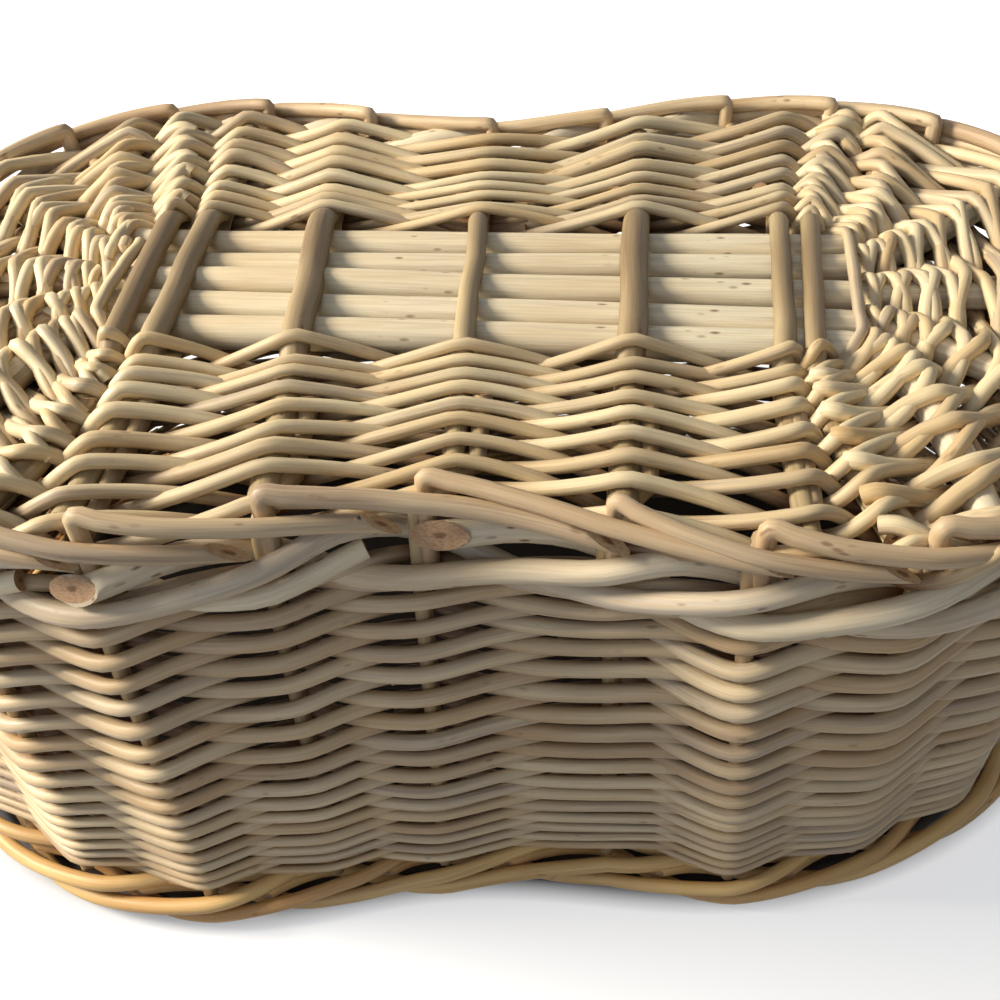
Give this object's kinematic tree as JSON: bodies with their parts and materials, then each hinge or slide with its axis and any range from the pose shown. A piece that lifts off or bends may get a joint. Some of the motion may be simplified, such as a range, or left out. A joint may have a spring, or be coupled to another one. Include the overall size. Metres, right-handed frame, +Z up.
{
  "type": "knitting basket",
  "caption": "Waisted oval willow knitting basket standing upside down on its rim, with a slit-stick base inside a low foot border.",
  "frame": {"origin": "on the ground under the middle of the basket, in the plane of the rim", "axes": "+Z up through the base, +X along the long side, the pictured side towards -Y"},
  "size_m": [0.388, 0.2296, 0.168],
  "materials": {
    "long_stick": "satin",
    "cross_stick": "satin",
    "base_weaver": "satin",
    "stake": "satin",
    "wall_weaver": "satin",
    "upsett_rod": "satin",
    "foot_rod": "satin",
    "rim_rod": "satin"
  },
  "bodies": {
    "root": {"base_long_stick_1": "long_stick", "base_long_stick_2": "long_stick", "base_long_stick_3": "long_stick", "base_long_stick_4": "long_stick", "base_long_stick_5": "long_stick", "base_cross_stick_1": "cross_stick", "base_cross_stick_2": "cross_stick", "base_cross_stick_3": "cross_stick", "base_cross_stick_4": "cross_stick", "base_cross_stick_5": "cross_stick", "base_cross_stick_6": "cross_stick", "base_cross_stick_7": "cross_stick", "base_weave_upper": "base_weaver", "base_weave_lower": "base_weaver", "side_stake_01": "stake", "side_stake_02": "stake", "side_stake_03": "stake", "side_stake_04": "stake", "side_stake_05": "stake", "side_stake_06": "stake", "side_stake_07": "stake", "side_stake_08": "stake", "side_stake_09": "stake", "side_stake_10": "stake", "side_stake_11": "stake", "side_stake_12": "stake", "side_stake_13": "stake", "side_stake_14": "stake", "side_stake_15": "stake", "side_stake_16": "stake", "side_stake_17": "stake", "side_stake_18": "stake", "side_stake_19": "stake", "side_stake_20": "stake", "side_stake_21": "stake", "side_stake_22": "stake", "side_stake_23": "stake", "side_stake_24": "stake", "wall_weave_outer": "wall_weaver", "wall_weave_inner": "wall_weaver", "upsett_rod_1": "upsett_rod", "upsett_rod_2": "upsett_rod", "upsett_rod_3": "upsett_rod", "upsett_rod_4": "upsett_rod", "upsett_rod_5": "upsett_rod", "upsett_rod_6": "upsett_rod", "foot_border": "foot_rod", "rim_border": "rim_rod"}
  },
  "joints": []
}
